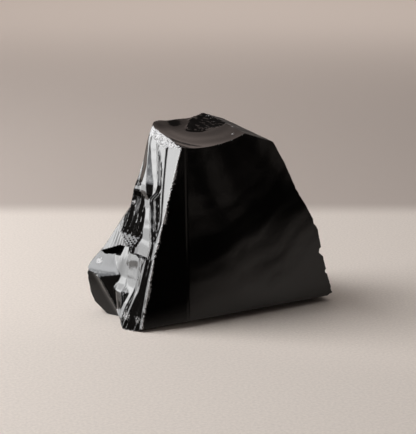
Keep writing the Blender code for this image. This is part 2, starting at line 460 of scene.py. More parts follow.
# %% The wall
TOOTHLESS = (1.0, 0.0, SMOOTH)          # tooth width, tooth depth, streaks
WALL_RIDGE = ((60, 0.6), (27, 0.3), (19, 0.1), (-3, 0.0), (-48, -0.4))
WALL_BANDS = (                          # left border (v, u); slope; tooth width, depth; streaks
    (((27, -0.1), (-2, -0.2), (-10, -1.2), (-13, -1.8), (-20, -2.1)), 0.02, *TOOTHLESS),
    (((25, -7.4), (17, -5.9), (11, -4.5), (5, -3.0), (0, -1.8), (-4, -0.9), (-8, -1.2),
      (-12, -1.9), (-20, -2.2)), 0.01, *TOOTHLESS),
    (((25, -8.3), (16, -6.4), (5, -3.8), (0, -2.4), (-4, -1.6), (-12, -2.0), (-20, -2.3)),
     -0.42, 1.0, 0.0, ROUGH),
    (((25, -13.0), (22, -10.1), (17, -7.8), (11, -5.7), (5, -4.7), (1, -3.4), (-4, -2.0),
      (-12, -2.1), (-20, -2.4)), 0.03, *TOOTHLESS),
    (((27, -15.3), (20, -12.7), (14, -10.4), (10, -8.7), (7, -9.5), (4, -12.4), (-2, -10.0),
      (-7, -7.7), (-11, -6.3), (-15, -5.2), (-20, -5.2)), 0.08, 1.7, 0.76, ROUGH),
    (((26, -19.4), (21, -17.3), (15, -14.3), (10, -11.5), (6, -10.6), (4, -12.5), (-2, -10.1),
      (-7, -7.8), (-11, -6.4), (-15, -5.3), (-20, -5.3)), 0.06, *TOOTHLESS),
    (((28, -21.3), (21, -19.2), (17, -17.6), (11, -15.2), (8, -14.4), (4, -12.6), (-2, -10.2),
      (-7, -7.9), (-11, -6.5), (-15, -5.4), (-20, -5.4)), -0.40, 1.3, 0.05, ROUGH),
    (((30, -26.0), (16, -26.0), (11, -22.5), (7, -18.2), (3, -15.2), (-2, -12.9), (-8, -11.9),
      (-12, -11.3), (-17, -14.0), (-20, -14.3)), 0.05, *TOOTHLESS),
    (((60, -28), (16, -26.2), (9, -25.8), (5, -25.0), (-9, -25.0), (-12, -25.5), (-15, -21.5),
      (-17, -18.8), (-20, -17.2)), -0.06, 2.6, 0.80, ROUGH),
    (((60, -60), (-60, -60)), 0.03, 1.6, 0.14, 1.4),
)


def wall_swell(u, v, wide=30.0, tall=20.0, most=1.4, height=0.6):
    """The wall comes forward far from the ridge and low down."""
    return height * (np.clip(-u / wide, 0, most) ** 2 * np.clip(-v / tall, 0, most))


def wall_strip(u, v, edge=-17.6, lean=0.25, bend=17, tall=9, wide=6, slope=0.42, foot=6,
               fade=5):
    """A narrow strip along the upper left border that turns away."""
    past = np.clip(edge - lean * np.clip(v - bend, 0, tall) - u, 0, wide)
    return slope * (past * ease((v - foot) / fade))


def wall_flare(u, v, top=-9, rate=0.06, limit=0.32, edge=-12, wide=15):
    """The skirt above the ledge, which spreads outwards like a bell."""
    return rolled(top - v, rate, limit) * np.clip((edge - u) / wide, 0, 1)


def fluted_wall(u, v):
    height, lively, _, _ = banded(u, v, WALL_RIDGE, 0.0 * v, WALL_BANDS)
    return wall_swell(u, v) + height - wall_strip(u, v) + wall_flare(u, v), lively


# %% The foot
FOOT_RIDGE = ((60, 20.0), (28, 17.8), (18, 17.0), (7, 16.8), (0, 16.7))
FOOT_BANDS = (
    (((28, 16.4), (18, 15.6), (7, 15.4), (0, 15.4)), 0.05, *TOOTHLESS),
    (((28, 13.4), (22, 12.8), (16, 12.2), (10, 9.9), (0, 7.0)), -0.24, 1.9, 0.16, ROUGH),
    (((28, 13.0), (22, 11.6), (16, 11.0), (10, 9.6), (0, 6.8)), 0.15, *TOOTHLESS),
    (((29, 8.6), (22, 9.3), (19, 9.6), (15, 8.8), (8, 6.4), (0, 5.0)), -0.08, 1.3, 0.30, ROUGH),
    (((30, 3.2), (24, 2.6), (20, 2.4), (16.5, 3.6), (14, 7.4), (8, 5.0), (0, 4.4)),
     0.21, *TOOTHLESS),
    (((30, 3.1), (24, 2.5), (20, 2.3), (17, 2.8), (14, 2.4), (7, 4.6), (0, 4.0)),
     -0.10, 1.5, 0.40, ROUGH),
    (((30, 1.6), (24, 0.2), (20, 0.0), (14, 0.4), (7, 3.4), (0, 3.2)), 0.16, *TOOTHLESS),
)
RIDGE_LEVEL, RIDGE_FALL = 4.2, 0.187    # height of the foot's ridge at v = 0, and its fall
KNOB_SHOULDER = (4.0, -17.6, 0.25, 18, 0.55)    # level; place and fall across; place and fall up
KNOB_FLANK = (3.5, -12, 0.36, 16.5, 0.16)
DOME_JOIN = 9                           # the dome takes up the bands' height over this width
DOME_LIVELY = 0.8


def domed_foot(u, v, level=-0.3, slope=0.16, top=17, rate=0.064, limit=0.42, edge=-2, wide=13):
    return level + slope * u - rolled(v - top, rate, limit) * (1 - ease((u - edge) / wide))


def foot_knob(u, v, rate=0.06, limit=0.22):
    """The knob at the far left: a sloping shoulder above, a steep flank below."""
    shoulder = sloping(u, v, *KNOB_SHOULDER) - rolled(v - KNOB_SHOULDER[3], rate, limit)
    return np.minimum(shoulder, sloping(u, v, *KNOB_FLANK))


def foot_arch(u, v, low=12, rate=0.02, limit=0.07, right=12.5, right_fade=3, left=-4,
              left_fade=5):
    """Leans the upper middle of the foot back a little more."""
    return (rolled(v - low, rate, limit) * ease((right - u) / right_fade)
            * ease((u - left) / left_fade))


def foot_front(u, v):
    """A knob, a domed arch, and long facets between it and the ridge."""
    height, lively, edge, level = banded(u, v, FOOT_RIDGE, RIDGE_LEVEL - RIDGE_FALL * v,
                                         FOOT_BANDS)
    offset = (level - domed_foot(edge, v)) * (1 - ease((edge - u) / DOME_JOIN))
    beyond = np.maximum(domed_foot(u, v) + offset, foot_knob(u, v))
    height = np.where(u < edge, beyond, height) - foot_arch(u, v)
    return height, np.where(u < edge, DOME_LIVELY, lively)


print("long facets:", len(WALL_BANDS), "on the wall,", len(FOOT_BANDS), "on the foot")

# %% [markdown]
# ## The scar on top
# The last big blow fell on the top.  Its shell is shallow and smooth at first; at the deep
# end the break turned down and ran out, which leaves a rough hollow with a raised lip.
# The rim of such a hollow is never an ellipse, so a few waves round it push it in and out.


# %% The top scar
HOLLOW = (13.2, 7.2, 9.4, 6.2)          # middle and half-axes of the hollow, mm
SHELL = (1.2, 0, 0, 50, 110)            # the bowl's depth, middle and radii
SHELL_SWELLS = ((-1.5, 14.0, 1.7, 8.0, 4.5), (-9.0, 12.0, 0.5, 3.0, 3.0))
RINGS = (9, 9, 0.5, 2.6, 0.05, 7.7)     # middle, sway and its length, height, spacing
RIM_WAVES = ((0.12, 3, 1.0), (0.08, 5, 0.0), (0.04, 11, 0.0))   # height, count round, shift


def swaying(x, rate, y, reach, other_rate):
    return np.sin(rate * x + reach * np.sin(other_rate * y))


def hollow_depth(u, v, deepest=1.4, fall=0.20, uneven=0.15, finer=0.6):
    """Deepest at its near side, with uneven ground in a coarse and a fine pattern."""
    rough = (swaying(u, 2.3, v, 1.6, 1.3) * swaying(v, 1.9, u, 1.4, 1.1)
             + finer * swaying(u, 5.1, v, 2.0, 3.3) * np.sin(4.7 * v + 1.0))
    return deepest - fall * (v - HOLLOW[1]) + uneven * rough


def hollow_lip(u, rim, height=0.5, place=1.12, width=0.07, gap=3, fade=4):
    return height * np.exp(-((rim - place) / width) ** 2) * ease((HOLLOW[0] - gap - u) / fade)


def top_scar(u, v, edge=1.08, shoulder=0.34):
    """A shallow shell; at its deep end the break turned down and ran out roughly."""
    u0, v0, sway, sway_length, height, spacing = RINGS
    ring = np.hypot(u - u0, v - v0) + sway * np.sin(u / sway_length)
    shell = bowl(*SHELL)(u, v) + ripples(ring, height, spacing)
    for one in SHELL_SWELLS:
        shell = shell + swell(u, v, *one)
    turn = np.arctan2(v - HOLLOW[1], u - HOLLOW[0])
    rim = np.hypot((u - HOLLOW[0]) / HOLLOW[2], (v - HOLLOW[1]) / HOLLOW[3])
    for reach, count, shift in RIM_WAVES:
        rim = rim + reach * np.sin(count * turn + shift)
    return shell + hollow_lip(u, rim) - hollow_depth(u, v) * ease((edge - rim) / shoulder)


print("depth in the hollow, mm:", round(float(-top_scar(HOLLOW[0], HOLLOW[1])), 2))

# %% [markdown]
# ## The table of fractures
# Each row says where a fracture lies and which way it faces (azimuth from +X, tilt above
# level), how big its sheet is, how fine its mesh, what its mean shape is, and its own
# marks where they differ from the tree's defaults.  The order is the order of breaking.

# %% Fracture table
SHIFT = Vector((3.79, -0.84, 0.0))      # brings the stone's middle onto the Z axis, mm
LEDGE = (Vector((-41.0, -8.0, 29.2)), Vector((-0.3, -0.05, 0.95)).normalized())
FAR_LEDGE = (Vector((-43.7, -4.3, 28.3)), Vector((-0.185, 0.289, 0.939)).normalized())
FOOT_TIP = (-54.0, 8.0, 19.2)
FACE, FINE = 1.1, 0.33                  # side of a mesh cell on a broad face and on a fluted one


def below(ledge, gap):
    """A stop that keeps a flake below a ledge's plane, or no more than a gap above it."""
    return ledge[0] + gap * ledge[1], -ledge[1]


BROAD = {"Ring Height": 0.012, "Streak Height": 0.004, "Blow": (-30.0, 100.0, 0.0)}
CALM = {"Ring Height": 0.0, "Streak Height": 0.0}
FLUTED = {"Ring Height": 0.02, "Ring Spacing": 6.0, "Streak Width": 0.8, "Streak Length": 22.0,
          "Streak Height": 0.03, "Blow": (-6.0, 90.0, 0.0)}
FOOTED = {**FLUTED, "Blow": (4.0, -60.0, 0.0)}
CHIPPED = {**FLUTED, "Streak Height": 0.12}
BACKED = {"Ring Height": 0.05, "Ring Spacing": 7.0, "Streak Height": 0.04}
TOPPED = {"Ring Height": 0.0, "Streak Height": 0.05, "Streak Width": 2.2,
          "Blow": (13.0, 13.0, 0.0)}

FRACTURES = (           # name; place; facing; sheet wide, tall, middle; cell; shape; marks; stops
    ("front", (0, -28.98, 2.7), (-90, 5), (130, 110, 0, 40), FACE, front_face, BROAD, ()),
    ("front_left", (-25.7, -29, 2.4), (-101.5, 5.3), (90, 110, 0, 40), 0.3, narrow_face,
     BROAD, ()),
    ("right_upper", (26.4, -24.5, 57), (8, 27), (90, 100, 0, 0), FACE, right_edge, BACKED, ()),
    ("right_lower", (41.4, -28, 20), (5, 12.5), (90, 90, 0, 0), FACE,
     bowl(0.2, 20, 0, 400, 200), BACKED, ()),
    ("top_right", (0.7, -22.4, 77.9), (-22, 70), (90, 90, 0, 0), FACE, flat, {}, ()),
    ("foot_under", (-49.7, 4, 3.2), (171, -40), (70, 44, 1, 2), FACE, flat, {}, ()),
    ("back", (0, 27.94, 6), (88, 18.5), (130, 110, 0, 40), FACE,
     bowl(0, -6, 30, 600, 600), BACKED, ()),
    ("back_right", (36, 18, 8), (48, 16), (110, 110, 0, 30), FACE,
     bowl(1.0, 0, 30, 300, 300), BACKED, ()),
    ("back_left", (-22.5, 4, 79.5), (112, 17), (110, 140, 0, -40), FACE,
     bowl(0, 0, 0, 700, 900), BACKED, ()),
    ("side_strip", (-33.6, -0.5, 59), (146, 14.9), (60, 110, 0, -10), FINE, side_strip,
     FLUTED, ()),
    ("foot_back", (-52.8, 8.5, 10), (110, 0), (100, 70, -32, 0), FACE, flat, BACKED, ()),
    ("foot_facet", FOOT_TIP, (208, -12), (80, 70, 0, 0), FINE, foot_facet, {}, ()),
    ("wall", (-33.2, -23.2, 47.4), (190, 17), (90, 100, -4, 8), FINE, fluted_wall,
     FLUTED, (LEDGE,)),
    ("far_wall", (-33.25, -23.21, 47.42), (190, 17), (36, 100, -32, 8), FINE, fluted_wall,
     FLUTED, (FAR_LEDGE, below(LEDGE, 1))),
    ("foot_front", (-46.6, -8, 0), (197, 3), (80, 70, 0, 10), FINE, foot_front,
     FOOTED, (below(LEDGE, 2), below(FAR_LEDGE, 3))),
    ("base", (0, 0, 0), (0, -90), (180, 180, 0, 0), 12.0, flat, CALM, ()),
    ("front_under", (0, -29, 2.6), (-90, -70), (150, 60, 0, 0), 2.0, flat, CALM, ()),
    ("right_under", (45.4, -28.9, 3.3), (-25, -66), (140, 80, 0, 0), 2.0, flat, CALM, ()),
    ("top_scar", (-13, -9, 76.3), (-103, 76), (100, 100, 0, 0), 0.5, top_scar, TOPPED, ()),
    ("top_chip", (-25.9, -8.0, 75.4), (197, 40), (34, 34, 0, 0), FINE, chip_face, CHIPPED, ()),
    ("back_scar", (22, 18.2, 27), (70, 12), (84, 74, 0, 0), FACE, scar(70, 55), {}, ()),
    ("back_top_scar", (-9, 6.5, 70), (96, 24), (64, 56, 0, 0), FACE, scar(60, 42), {}, ()),
    ("back_low_scar", (-24, 16.2, 4), (106, 4), (60, 56, 0, 0), FACE, scar(60, 60), {}, ()),
    ("right_scar", (35.8, -5, 22), (10, 18), (60, 66, 0, 0), FACE, scar(60, 70), {}, ()),
)
NUMBERS = {row[0]: number for number, row in enumerate(FRACTURES, start=1)}
print("fractures:", len(FRACTURES))

# %% [markdown]
# ## Flakes from the table
# A sheet is a grid in its own two directions, which is then turned to face its way.  Only
# the part that reaches the stone needs a fine mesh, and long flutes need it only across
# them.  So a window says where the fine cells lie, and a few cells are made taller.

# %% Sheets and flakes
COARSE = 4.0                            # side of a cell outside the window, mm
EVERYWHERE = (-200.0, 200.0, -200.0, 200.0)
WINDOWS = {                             # u from, to, v from, to
    "wall": (-40.0, 3.0, -30.0, 34.0), "far_wall": (-48.0, -12.0, -30.0, 34.0),
    "foot_front": (-26.0, 20.0, -4.0, 32.0), "front_left": (-1.5, 2.1, -200.0, 200.0),
}
TALLER = {"wall": 2.0, "far_wall": 2.0, "foot_front": 1.5, "front_left": 8.0}
NEARLY_LEVEL = 0.85                     # a sheet that looks up or down has its v along +Y


def facing(azimuth, tilt):
    """The directions across, up and out of a sheet."""
    a, t = math.radians(azimuth), math.radians(tilt)
    out = Vector((math.cos(a) * math.cos(t), math.sin(a) * math.cos(t), math.sin(t)))
    up = Vector((0, 0, 1)) if abs(out.z) < NEARLY_LEVEL else Vector((0, 1, 0))
    up = (up - out * up.dot(out)).normalized()
    return up.cross(out), up, out


def ruled(low, high, step, window):
    """Grid lines, a coarse few outside the window."""
    inner = np.arange(max(low, window[0]), min(high, window[1]) + step, step)
    before = np.arange(inner[0] - COARSE, low - COARSE, -COARSE)
    after = np.arange(inner[-1] + COARSE, high + COARSE, COARSE)
    return np.unique(np.concatenate([before, inner, after]).round(4))


def sheet_mesh(name, wide, tall, u0, v0, step, relief):
    """Grid in the sheet's own directions, with the mean shape of its fracture."""
    window = WINDOWS.get(name, EVERYWHERE)
    across = ruled(u0 - wide / 2, u0 + wide / 2, step, window[:2])
    along = ruled(v0 - tall / 2, v0 + tall / 2, step * TALLER.get(name, 1), window[2:])
    u, v = np.meshgrid(across, along)
    made = relief(u, v)
    height, lively = made if isinstance(made, tuple) else (made, 1 + 0 * u)
    columns, rows = len(across), len(along)
    corner = (np.arange(rows - 1)[:, None] * columns + np.arange(columns - 1)).ravel()
    mesh = bpy.data.meshes.new(name)
    mesh.from_pydata(np.stack([u.ravel(), v.ravel(), height.ravel()], 1), [],
                     np.stack([corner, corner + 1, corner + columns + 1, corner + columns], 1))
    layer = mesh.attributes.new("lively", "FLOAT", "POINT")
    layer.data.foreach_set("value", lively.ravel())
    return mesh


def flake(number, name, point, turn, sheet, step, relief, marks, stops):
    body = placed("flake " + name, sheet_mesh(name, *sheet, step, relief))
    turned = Matrix(facing(*turn)).transposed()
    body.matrix_world = (Matrix.Scale(MM, 4) @ Matrix.Translation(Vector(point) + SHIFT)
                         @ turned.to_4x4())
    values = {"Number": number, **marks}
    for (label, _), (place, way) in zip(STOP_NUMBERS, stops):
        values[label] = tuple(turned.transposed() @ (place - Vector(point)))
        values[label + " Way"] = tuple(turned.transposed() @ way)
    run_nodes(body, flaking, flake_keys, values)
    return body


flakes = [flake(number, *row) for number, row in enumerate(FRACTURES, start=1)]
print("faces of all sheets:", sum(len(body.data.polygons) for body in flakes))

# %% [markdown]
# ## Breaking the stone
# A raw block loses one flake after another, by a Boolean each.  The MANIFOLD solver is
# quick enough for meshes this fine, and keeps the number that each face got from its
# fracture.  Later those numbers tell which edges are real arrises.  A short table adds the
# single knocks that show on the outline.  Each is a small twenty-sided lump, because glass
# breaks in facets here and a smooth ball would leave a round dimple.

# %% Block and Booleans
BLOCK, BLOCK_MIDDLE = (116.0, 66.0, 90.0), (-5.0, -1.0, 42.0)
NUMBERS["bite"] = 400                   # the fracture number of every knock
BITE_RADIUS = 1.12                      # makes up for what a lump's facets cut off its ball
BITES = (                               # middle and half-axes, mm
    ((42.2, -28.0, 22.6), (2.9, 3.2, 2.6)), ((44.3, -28.7, 13.4), (2.0, 2.6, 1.5)),
    ((38.6, -27.2, 36.2), (2.0, 2.6, 2.4)), ((29.6, -25.9, 52.2), (1.9, 2.2, 2.2)),
    ((34.6, -26.7, 44.6), (1.8, 2.2, 1.6)),
    ((-32.6, 0.9, 63.2), (2.2, 2.4, 3.0)), ((-36.0, -4.0, 57.3), (2.0, 2.4, 1.9)),
    ((-38.6, -3.7, 52.7), (2.0, 2.4, 1.8)), ((-39.1, 0.8, 46.4), (2.0, 2.4, 2.3)),
    ((-40.7, 4.6, 40.3), (1.9, 2.4, 2.0)), ((-43.7, 9.8, 31.9), (2.0, 2.4, 2.1)),
    ((4.2, -16.8, 79.2), (4.2, 3.0, 1.4)), ((-0.8, -20.0, 77.3), (3.4, 2.4, 1.5)),
    ((-5.9, -23.4, 75.1), (3.0, 2.2, 1.3)),
    ((-51.6, -12.6, 3.4), (2.4, 5.2, 2.0)),
)


def from_bmesh(name, bm):
    mesh = bpy.data.meshes.new(name)
    bm.to_mesh(mesh)
    bm.free()
    return placed(name, mesh)


def raw_block():
    bm = bmesh.new()
    for vert in bmesh.ops.create_cube(bm, size=1.0)["verts"]:
        place = Vector(c * s + m for c, s, m in zip(vert.co, BLOCK, BLOCK_MIDDLE))
        vert.co = (place + SHIFT) * MM
    block = from_bmesh("raw block", bm)
    block.data.attributes.new("fracture", "INT", "FACE")
    block.data.materials.append(glass)
    return block


def bites():
    """Single knocks on the outline, as one mesh."""
    bm = bmesh.new()
    for middle, axes in BITES:
        place = Matrix.Translation((Vector(middle) + SHIFT) * MM)
        bmesh.ops.create_icosphere(bm, subdivisions=1, radius=BITE_RADIUS * MM,
                                   matrix=place @ Matrix.Diagonal((*axes, 1.0)))
    mark = bm.faces.layers.int.new("fracture")
    for face in bm.faces:
        face[mark] = NUMBERS["bite"]
    return from_bmesh("bites", bm)


def baked(piece, name):
    """The evaluated piece as a plain mesh in a new object."""
    evaluated = piece.evaluated_get(bpy.context.evaluated_depsgraph_get())
    made = placed(name, bpy.data.meshes.new_from_object(evaluated))
    made.data.name = name
    return made


def broken(block, taken):
    for body in taken:
        cut = block.modifiers.new(body.name, "BOOLEAN")
        cut.operation, cut.solver, cut.object = "DIFFERENCE", "MANIFOLD", body
    left = baked(block, "broken stone")
    for old in [block, *taken]:
        bpy.data.objects.remove(old)
    return left


stone = broken(raw_block(), [*flakes, bites()])
print("broken stone:", len(stone.data.polygons), "faces")

# %% [markdown]
# ## Which edges are arrises
# An arris is the sharp edge where two fractures meet.  Ribs inside one fracture are sharp
# too, but they are part of its relief and don't chip.  The numbers on the faces tell them
# apart, so the arrises are marked once and everything later asks for that mark.

# %% Arrises
ARRIS_ANGLE = math.radians(35)
CLEAN_PAIRS = ({"wall", "far_wall"}, {"base", "front_under"}, {"base", "right_under"})


def mark_arrises(piece):
    """Edge attribute for the chips tree; gives the total length of the arrises in mm."""
    clean = [{NUMBERS[name] for name in pair} for pair in CLEAN_PAIRS]
    bm = bmesh.new()
    bm.from_mesh(piece.data)
    mark = bm.faces.layers.int["fracture"]
    chosen, total = [], 0.0
    for edge in bm.edges:
        sides = {face[mark] for face in edge.link_faces}
        chosen.append(len(sides) == 2 and sides not in clean and edge.is_convex
                      and edge.calc_face_angle(0.0) > ARRIS_ANGLE)
        total += edge.calc_length() / MM * chosen[-1]
    bm.free()
    layer = piece.data.attributes.new("arris", "BOOLEAN", "EDGE")
    layer.data.foreach_set("value", chosen)
    return total


print("arrises, mm:", round(mark_arrises(stone)))

# %% [markdown]
# ## Chips along the edges
# A fresh glass edge is too thin to last: every knock takes a small scallop out of it.
# A tree walks along the arrises and sets a small twenty-sided lump just outside each, at
# random size and turn and in patches, and takes the lumps off.  Its lengths are metres,
# because it works on the finished stone, while a flake's are millimetres.

# %% Edge chips tree
CHIPS = {
    "Spacing": 0.0013, "Small": 0.0005, "Large": 0.0034, "Bite": 0.17, "Skip": 0.4, "Seed": 5,
}
CHIP_NUMBER = 500                       # the fracture number of every small chip
CHIP_RADIUS = 1.1
PATCH_SCALE, PATCH_STEP = 45.0, (0.35, 0.65)    # chips are big in some places only
RARELY_LARGE = 3.0                      # power that makes most draws small
DEEPER, SQUASH, ANY_TURN = (0.4, 1.6), (0.8, 1.25), (0.0, 6.28)     # ranges of the draws


def chip_tree():
    bench, given, keys = geometry_bench("edge chips", CHIPS)

    def dice(span, more):
        return bench.add("FunctionNodeRandomValue", {"data_type": "FLOAT"},
                         {"Min": span[0], "Max": span[1], "Seed": given["Seed"] + more}, out=1)

    def three_dice(span, more):
        return bench.add("FunctionNodeRandomValue", {"data_type": "FLOAT_VECTOR"}, {
            "Min": span[:1] * 3, "Max": span[1:] * 3, "Seed": given["Seed"] + more})

    marked = bench.add("GeometryNodeStoreNamedAttribute",
                       {"data_type": "FLOAT_VECTOR", "domain": "POINT"},
                       {"Geometry": given["Geometry"], "Name": "outward",
                        "Value": bench.add("GeometryNodeInputNormal")})
    edges = bench.add("GeometryNodeMeshToCurve", {},
                      {"Mesh": marked, "Selection": bench.named("arris", "BOOLEAN")})
    points = bench.add("GeometryNodeCurveToPoints", {"mode": "LENGTH"},
                       {"Curve": edges, "Length": given["Spacing"]})
    skipped = bench.add("FunctionNodeCompare", {"operation": "LESS_THAN"},
                        {0: dice((0.0, 1.0), 7), 1: given["Skip"]})
    kept = bench.add("GeometryNodeDeleteGeometry", {"domain": "POINT"},
                     {"Geometry": points, "Selection": skipped})
    patchy = bench.noise(bench.add("GeometryNodeInputPosition"), PATCH_SCALE, 1.0)
    size = bench.add("ShaderNodeMapRange", {}, {
        "Value": dice((0.0, 1.0), 1) ** RARELY_LARGE * bench.smooth(patchy, *PATCH_STEP),
        "To Min": given["Small"], "To Max": given["Large"]})
    lift = bench.vector("SCALE", {
        0: bench.named("outward", "FLOAT_VECTOR"),
        "Scale": size * (1.0 - given["Bite"] * dice(DEEPER, 2))})
    beside = bench.add("GeometryNodeSetPosition", {}, {"Geometry": kept, "Offset": lift})
    lump = bench.add("GeometryNodeMeshIcoSphere", {}, {"Radius": CHIP_RADIUS, "Subdivisions": 1})
    lumps = bench.add("GeometryNodeInstanceOnPoints", {}, {
        "Points": beside, "Instance": bench.numbered(lump, CHIP_NUMBER),
        "Rotation": three_dice(ANY_TURN, 0),
        "Scale": bench.vector("SCALE", {0: three_dice(SQUASH, 3), "Scale": size})})
    bench.finish(bench.minus(given["Geometry"], lumps), glass)
    return bench.tree, keys


chipping, chip_keys = chip_tree()
run_nodes(stone, chipping, chip_keys, {})
chipped = baked(stone, "obsidian_glass")
bpy.data.objects.remove(stone)
print("chipped stone:", len(chipped.data.polygons), "faces")

# %% [markdown]
# ## Crushed and grainy places, and painted glints
# Some arrises met a hard knock or carry the stone's weight, and are crushed to powder; a
# few spots are grainy because the break ran out there.  The powder's white is also painted
# as glints: specks on the rough long facets, and a few spots where the glass shows bright
# facets, which are painted highlights.  All are a number on each point of the mesh: 1 in
# the middle of such a place, 0 at its reach.

# %% Crush, grain and painted glints on each point
CRUSHED = (                             # fractures that meet there, reach in mm, strength
    ({"wall", "front_left"}, 1.1, 1.0), ({"foot_front", "front_left"}, 1.6, 1.0),
    ({"top_chip"}, 0.5, 0.84), ({"top_chip", "top_scar"}, 1.0, 0.9),
    ({"foot_front", "base"}, 2.2, 0.8), ({"top_scar", "front"}, 0.6, 0.5),
    ({"bite", "foot_front"}, 0.9, 0.9), ({"foot_front", "foot_facet"}, 0.5, 0.6),
)
SPOTS = (                               # middle and reach, mm; how white, from crush and painted highlights; how grainy
    ((-2.0, -7.0, 77.0), 9.5, 0.0, 1.0), ((-48.9, 6.0, 22.8), 3.2, 1.0, 0.0),
    # The next four spots are painted highlights: white where the glass shows bright facets and a
    # glint, at the bottom left and on the top rim.
    ((-48.8, -11.2, 6.0), 3.4, 0.78, 0.0), ((-48.4, -17.4, 5.4), 4.6, 0.84, 0.0),
    ((-45.6, -22.6, 4.8), 4.0, 0.78, 0.0), ((0.8, -18.2, 76.4), 2.4, 0.8, 0.0),
    ((-36.9, -2.6, 48.6), 2.6, 0.84, 0.0), ((-47.6, 0.4, 24.0), 4.0, 0.72, 0.0),
)
SPOT_GAIN = 1.3                         # a spot is at its full strength before its middle
GLINT_SPECKS = 0.36                           # white specks painted as glints on the rough long facets
GLINT_SPECKLED = ("wall", "foot_front")


def along_arrises(places, met):
    """Powder near the points where the named fractures meet."""
    worst = np.zeros(len(places))
    for names, reach, strength in CRUSHED:
        numbers = {NUMBERS[name] for name in names}
        near = [index for index, marks in enumerate(met) if numbers <= marks]
        print("  crushed", sorted(names), len(near), "points")
        if near:
            tree = KDTree(len(near))
            for index in near:
                tree.insert(places[index], index)
            tree.balance()
            far = np.array([tree.find(place)[2] for place in places])
            worst = np.maximum(worst, strength * np.clip(1 - far / reach, 0, 1))
    return worst


def glint_specks(places, met, name, point, turn, relief):
    """White specks painted as glints on the lively bands of a fluted face."""
    side, up, _ = (np.array(way) for way in facing(*turn))
    apart = places - np.array(Vector(point) + SHIFT)
    lively = relief(apart @ side, apart @ up)[1]
    here = [NUMBERS[name] in marks for marks in met]
    return GLINT_SPECKS * (lively >= ROUGH) * here


def crushed_glass_and_glints(bm, mark):
    """How white each point is, from crush and painted glints, and how grainy."""
    places = np.array([vert.co for vert in bm.verts]) / MM
    met = [{face[mark] for face in vert.link_faces} for vert in bm.verts]
    worst, grainy = along_arrises(places, met), np.zeros(len(places))
    for middle, reach, crushed, grain in SPOTS:
        far = np.linalg.norm(places - np.array(Vector(middle) + SHIFT), axis=1)
        inside = np.clip(SPOT_GAIN * (1 - far / reach), 0, 1)
        worst, grainy = np.maximum(worst, crushed * inside), np.maximum(grainy, grain * inside)
    for name, point, turn, _, _, relief, _, _ in FRACTURES:
        if name in GLINT_SPECKLED:
            worst = np.maximum(worst, glint_specks(places, met, name, point, turn, relief))
    return worst, grainy


# %% [markdown]
# ## Clean mesh, real arrises
# The Booleans leave needles where two cuts nearly touch, so the stone is welded first.
# Shading is smooth inside each fracture and breaks where two fractures meet or a rib is
# sharp, which is what makes the edges read as broken glass rather than as moulded glass.

# %% Finishing the mesh
SHARP = math.radians(30)
STONE_WELD = 2e-6                       # m


def finish_mesh(piece):
    """Welds and shades the piece; gives how many edges aren't shared by two faces."""
    bm = bmesh.new()
    bm.from_mesh(piece.data)
    bmesh.ops.remove_doubles(bm, verts=bm.verts, dist=STONE_WELD)
    bmesh.ops.dissolve_degenerate(bm, edges=bm.edges, dist=STONE_WELD)
    bmesh.ops.triangulate(bm, faces=bm.faces)
    mark = bm.faces.layers.int["fracture"]
    for face in bm.faces:
        face.smooth = True
    open_edges = 0
    for edge in bm.edges:
        if len(edge.link_faces) != 2:
            open_edges += 1
            continue
        one, two = edge.link_faces
        edge.smooth = one[mark] == two[mark] and edge.calc_face_angle(0.0) < SHARP
    crushed, grainy = crushed_glass_and_glints(bm, mark)
    bm.to_mesh(piece.data)
    bm.free()
    for name, values in (("crushed", crushed), ("grainy", grainy)):
        layer = piece.data.attributes.new(name, "FLOAT", "POINT")
        layer.data.foreach_set("value", values)
    return open_edges


open_edges = finish_mesh(chipped)
print("stone:", len(chipped.data.polygons), "triangles,", open_edges, "edges not shared by two")

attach(chipped, BODY)
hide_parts(NODE)

# %% [markdown]
# ## The floor
# A dark mirror shows what stands around it, so the studio is part of the finish.  The
# floor is pale, warm paper.  Some way behind the stone its tone drops softly, which is
# painted shade standing in for a dimly lit wall behind the table, and grows paler again
# further back, painted light for the brighter top of that wall.  One material does it from
# the distance along the view, so there is no second object with an edge that could show.

# %% Floor
NEAR_TONE = ((0.62, 0.56, 0.515, 1), (0.84, 0.765, 0.70, 1))
# Painted shade of the far floor: darker at first, then paler further back as painted light.
FAR_PAINTED_SHADE_TONES = ((0.45, 0.39, 0.355, 1), (0.62, 0.54, 0.49, 1))
HORIZON = (0.150, 0.186)                # the painted shade begins this far behind the stone, softly
BACKDROP = (0.2, 1.4)                   # and then grows paler over this depth, as painted light
VIEW_WAY = (0.5, 0.866, 0.0)            # level direction away from the camera
PAPER_SCALE, PAPER_ROUGHNESS = 900.0, 0.7
FLOOR_HALF = 3.0                        # m


def level_sheet(name, low, high, height, material):
    """One quad between two corners, at a height."""
    (x0, y0), (x1, y1) = low, high
    mesh = bpy.data.meshes.new(name)
    mesh.from_pydata([(x, y, height) for x, y in ((x0, y0), (x1, y0), (x1, y1), (x0, y1))], [],
                     [(0, 1, 2, 3)])
    mesh.materials.append(material)
    return placed(name, mesh)


def floor_material():
    material, bench, surface = material_bench("pale floor")
    surface.inputs["Roughness"].default_value = PAPER_ROUGHNESS
    place = bench.add("ShaderNodeTexCoord", out="Object")
    depth = bench.vector("DOT_PRODUCT", {0: place, 1: VIEW_WAY}, out="Value")
    near = bench.mixed(bench.noise(place, PAPER_SCALE), *NEAR_TONE)
    far = bench.mixed(bench.smooth(depth, *BACKDROP), *FAR_PAINTED_SHADE_TONES)
    tone = bench.mixed(bench.smooth(depth, *HORIZON), near, far)
    material.node_tree.links.new(tone.socket, surface.inputs["Base Color"])
    return material


floor = level_sheet("floor", (-FLOOR_HALF,) * 2, (FLOOR_HALF,) * 2, 0.0, floor_material())
print("floor, m:", [round(side, 2) for side in floor.dimensions])
